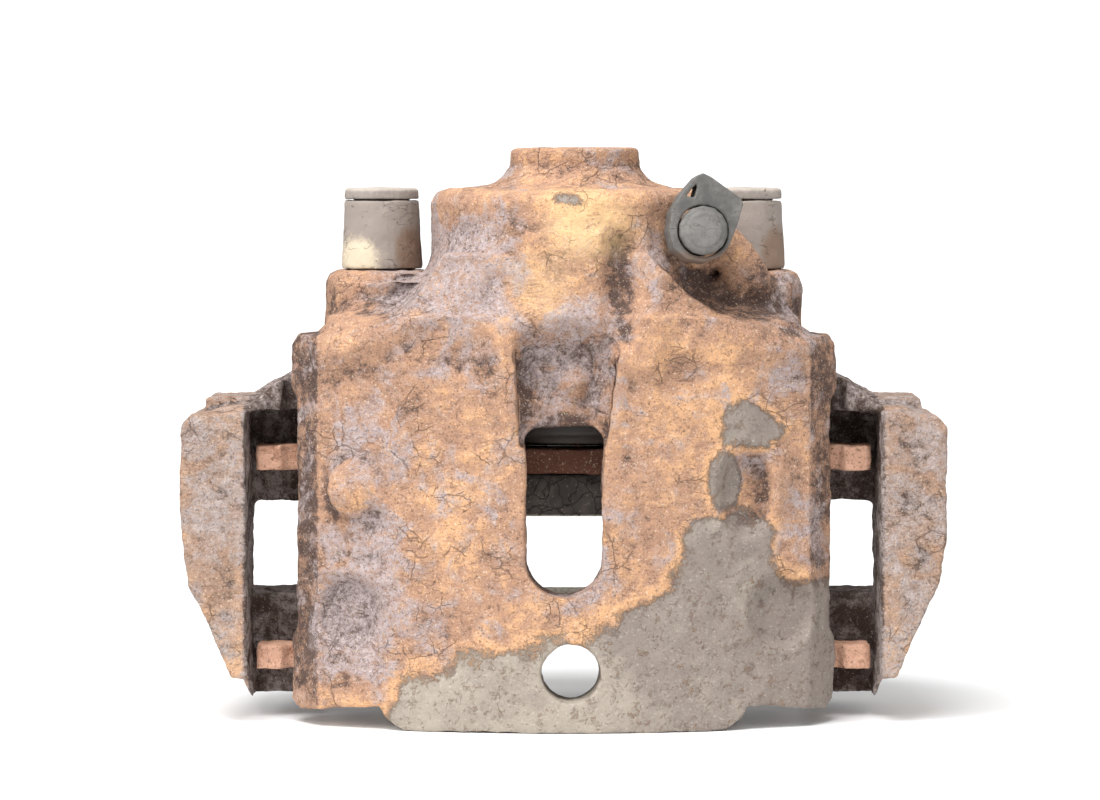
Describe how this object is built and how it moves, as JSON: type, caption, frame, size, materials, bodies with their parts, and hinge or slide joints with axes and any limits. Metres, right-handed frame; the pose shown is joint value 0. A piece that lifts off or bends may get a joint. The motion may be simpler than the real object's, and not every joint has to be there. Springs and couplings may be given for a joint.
{
  "type": "floating disc brake caliper with carrier and pads",
  "caption": "Rusty single-piston floating brake caliper in its carrier with pads, guide bushes and a capped bleed screw, resting on its finger face.",
  "frame": {"origin": "centre of the bottom of the overall box, on the surface that the outboard finger face rests on", "axes": "+X across the caliper along the disc's rim, +Y in towards the wheel's axis, +Z inboard, up along the piston's axis"},
  "size_m": [0.208, 0.1, 0.1565],
  "materials": {
    "housing_iron": "flaky orange-brown rust with a worn grey patch",
    "carrier_iron": "dark brown pitted rust",
    "piston_steel": "ground and plated",
    "pin_steel": "machined",
    "bleed_steel": "dull plated",
    "spring_steel": "blued spring steel",
    "shim_steel": "dark coated sheet",
    "pad_plate": "copper-brown rust",
    "pad_lining": "friction compound",
    "bush_rubber": "dusty grey-beige rubber",
    "lid_plastic": "dusty grey-brown",
    "black_rubber": "grey-black, slightly worn"
  },
  "bodies": {
    "carrier": {"carrier": "carrier_iron", "guide_pin_left": "pin_steel", "guide_pin_right": "pin_steel"},
    "housing": {"housing": "housing_iron", "guide_bush_left": "bush_rubber", "guide_bush_right": "bush_rubber", "piston_seal": "black_rubber", "dust_boot": "black_rubber"},
    "piston": {"piston": "piston_steel", "inner_pad_plate": "pad_plate", "inner_pad_lining": "pad_lining", "inner_pad_shim": "shim_steel", "inner_pad_clip": "spring_steel"},
    "outer_pad": {"outer_pad_plate": "pad_plate", "outer_pad_lining": "pad_lining"},
    "bleed_screw": {"bleed_screw": "bleed_steel"},
    "bleed_cap": {"bleed_cap": "black_rubber", "bleed_cap_strap": "black_rubber"},
    "bush_cap_left": {"bush_cap_left": "lid_plastic"},
    "bush_cap_right": {"bush_cap_right": "lid_plastic"}
  },
  "joints": [
    {"name": "housing_slide", "type": "slide", "parent": "carrier", "child": "housing", "axis": [0, 0, 1], "range_m": [-0.003, 0.006]},
    {"name": "piston_slide", "type": "slide", "parent": "housing", "child": "piston", "axis": [0, 0, 1], "range_m": [-0.018, 0.002], "deforming": ["dust_boot"]},
    {"name": "outer_pad_slide", "type": "slide", "parent": "carrier", "child": "outer_pad", "axis": [0, 0, 1], "range_m": [-0.003, 0.006]},
    {"name": "bleed_screw_turn", "type": "hinge", "parent": "housing", "child": "bleed_screw", "pos_m": [0.035, -0.0325, 0.1325], "axis": [0.1553, -0.9803, 0.1219], "range_deg": [0, 180]},
    {"name": "bleed_cap_pull", "type": "slide", "parent": "housing", "child": "bleed_cap", "axis": [0.1553, -0.9803, 0.1219], "range_m": [0, 0.016]},
    {"name": "bush_cap_left_pull", "type": "slide", "parent": "housing", "child": "bush_cap_left", "axis": [0, 0, 1], "range_m": [0, 0.012]},
    {"name": "bush_cap_right_pull", "type": "slide", "parent": "housing", "child": "bush_cap_right", "axis": [0, 0, 1], "range_m": [0, 0.012]}
  ],
  "couplings": [
    {"joint": "outer_pad_slide", "follows": "housing_slide", "ratio": 1}
  ]
}
